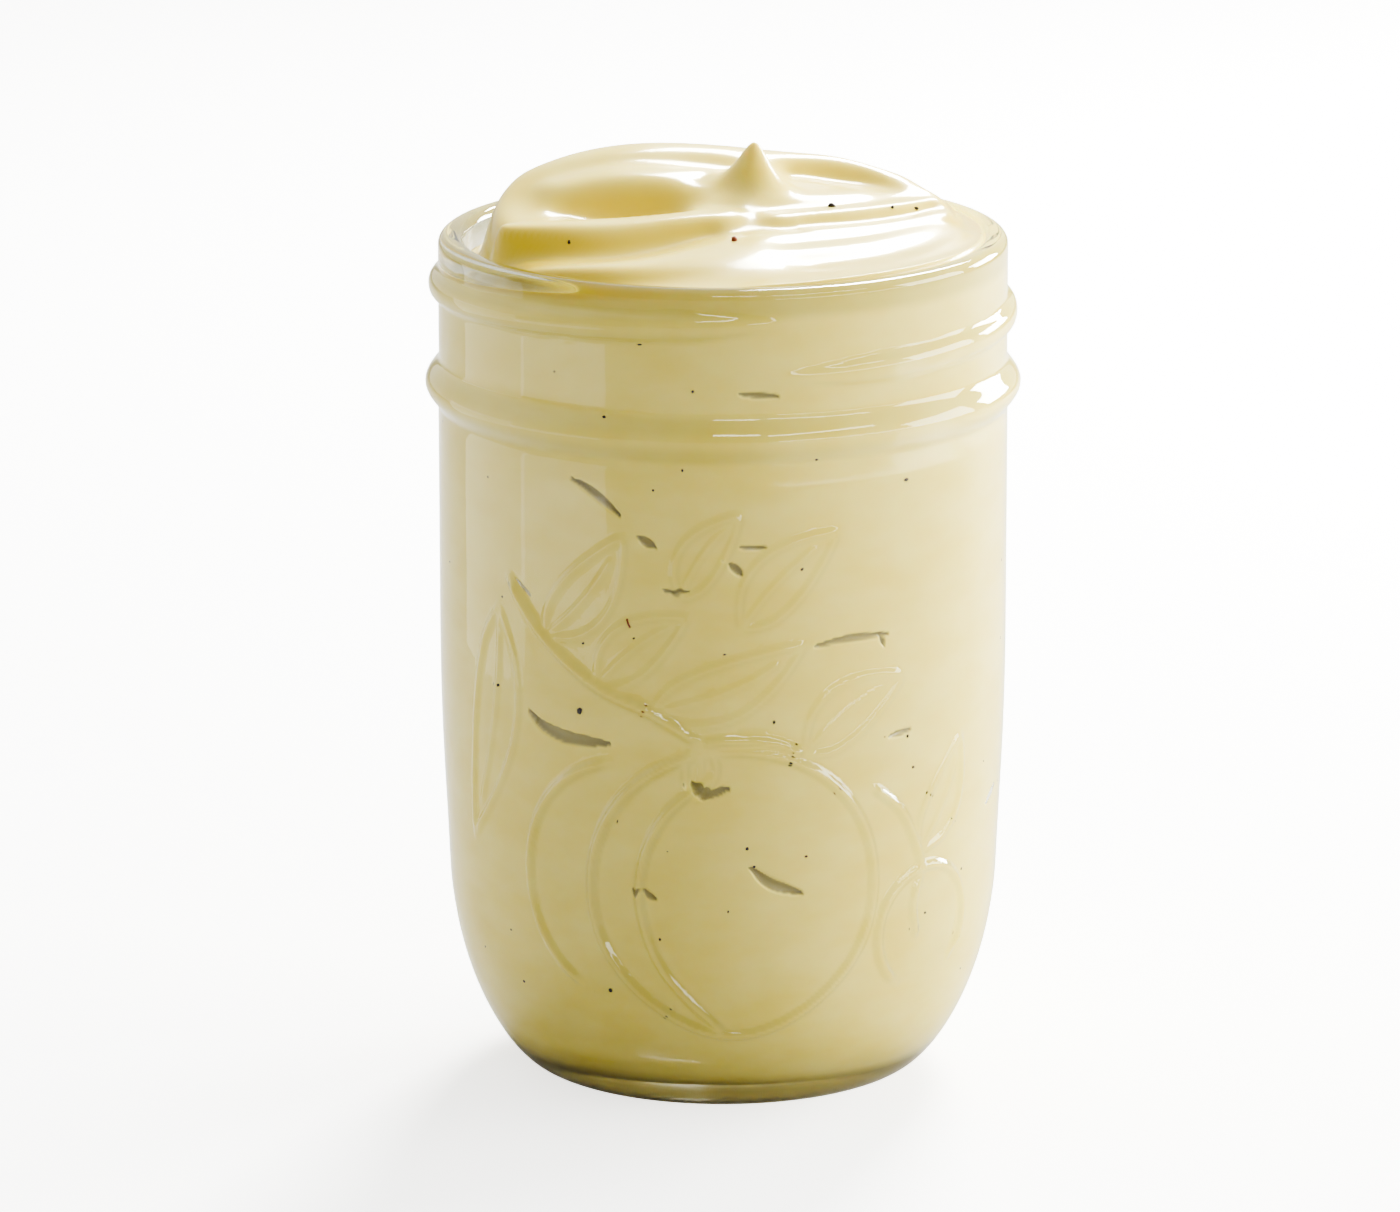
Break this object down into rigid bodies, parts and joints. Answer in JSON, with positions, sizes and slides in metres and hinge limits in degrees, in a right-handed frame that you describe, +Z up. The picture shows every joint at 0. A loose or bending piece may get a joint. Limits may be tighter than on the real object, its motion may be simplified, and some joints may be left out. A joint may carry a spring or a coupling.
{
  "type": "mayonnaise jar",
  "caption": "Clear glass screw-neck preserving jar with moulded fruit relief, filled with pale yellow mayonnaise that is swirled into a heap above the rim.",
  "frame": {"origin": "centre of the foot ring, on the surface that the jar stands on", "axes": "+Z up along the jar's axis, -Y towards the front with the large moulded fruit, +X to the right of the front"},
  "size_m": [0.0697, 0.0696, 0.1101],
  "materials": {
    "glass": "clear moulded glass",
    "mayonnaise": "glossy soft paste"
  },
  "bodies": {
    "root": {"jar": "glass", "mayonnaise": "mayonnaise"}
  },
  "joints": []
}
